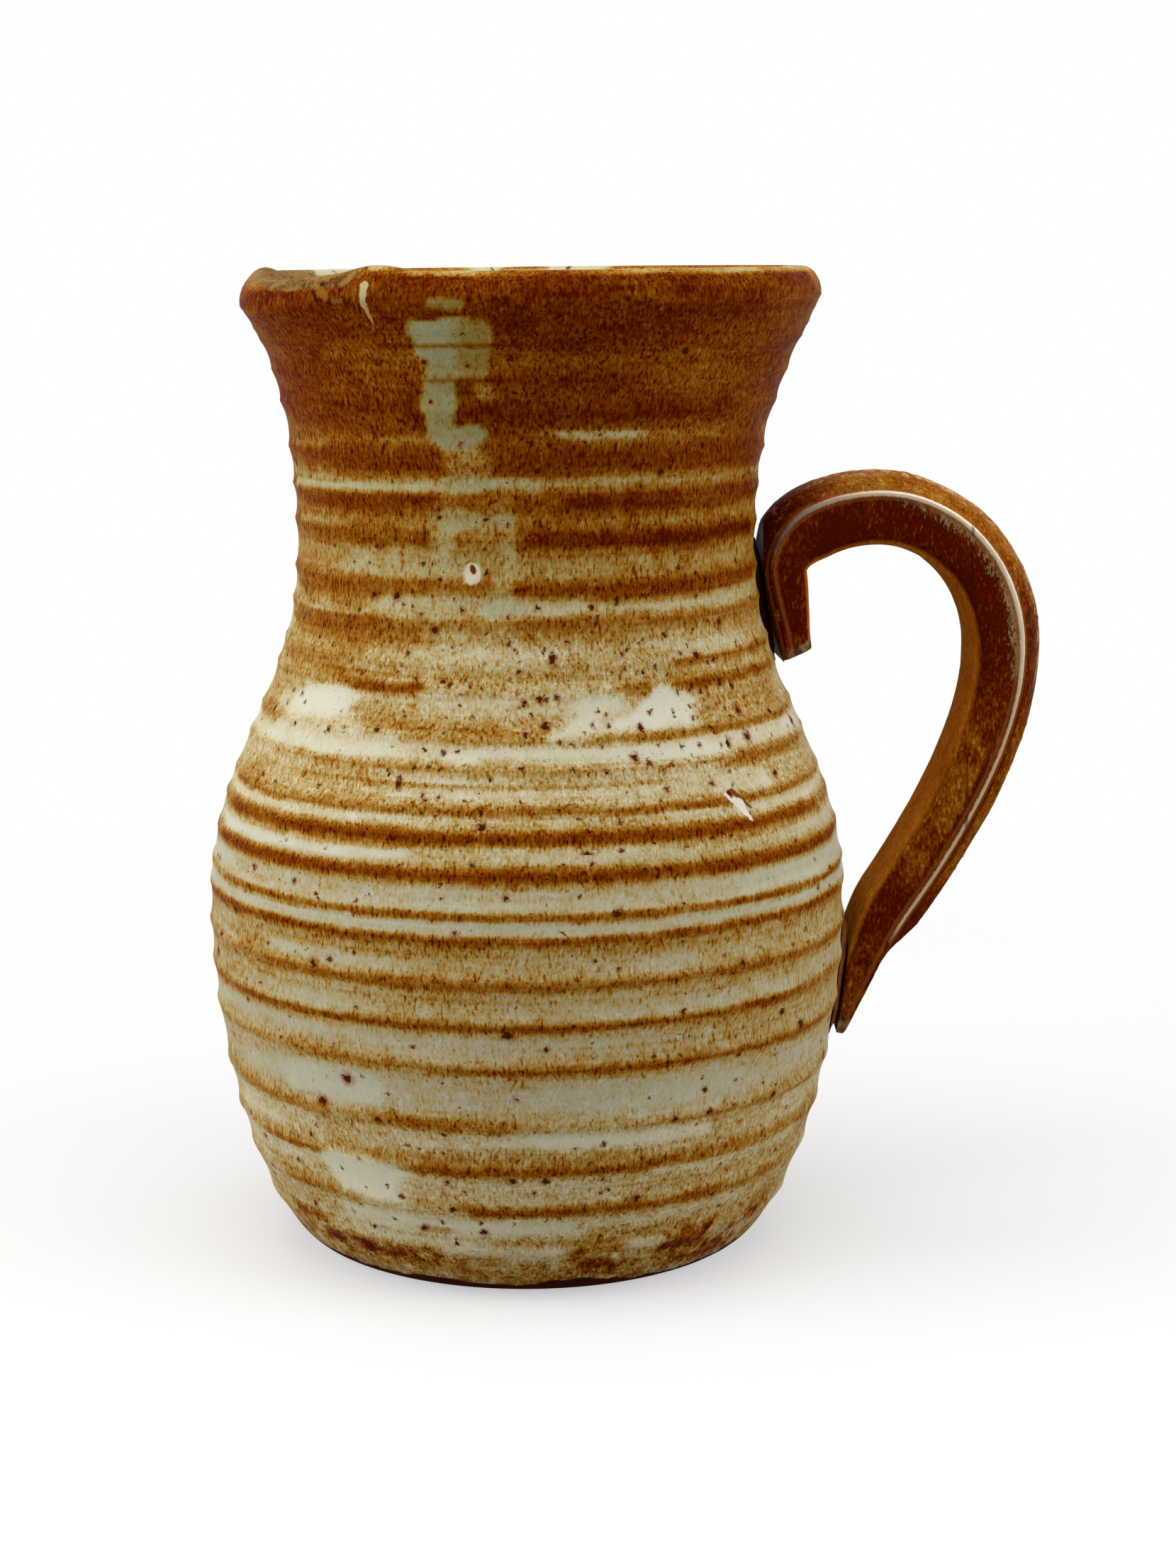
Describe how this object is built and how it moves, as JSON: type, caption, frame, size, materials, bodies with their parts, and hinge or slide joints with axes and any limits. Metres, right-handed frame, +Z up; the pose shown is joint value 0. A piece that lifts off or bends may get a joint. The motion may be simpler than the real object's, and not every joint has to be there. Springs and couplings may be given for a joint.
{
  "type": "pottery pitcher",
  "caption": "Wheel-thrown stoneware pitcher with a waisted neck, pulled pouring lip, throwing rings and a luted crook-shaped strap handle.",
  "frame": {"origin": "centre of the flat base on the turning axis", "axes": "+Z up along the turning axis, +X from the axis towards the handle, -Y the side that the picture shows"},
  "size_m": [0.1873, 0.143, 0.2171],
  "materials": {
    "body_glaze": "satin mottled iron and cream glaze over stoneware",
    "handle_glaze": "satin rust-brown glaze, pale where it breaks on edges",
    "luting_clay": "matt fired clay"
  },
  "bodies": {
    "root": {"thrown_body": "body_glaze", "strap_handle": "handle_glaze", "upper_luting_clay": "luting_clay", "lower_luting_clay": "luting_clay"}
  },
  "joints": []
}
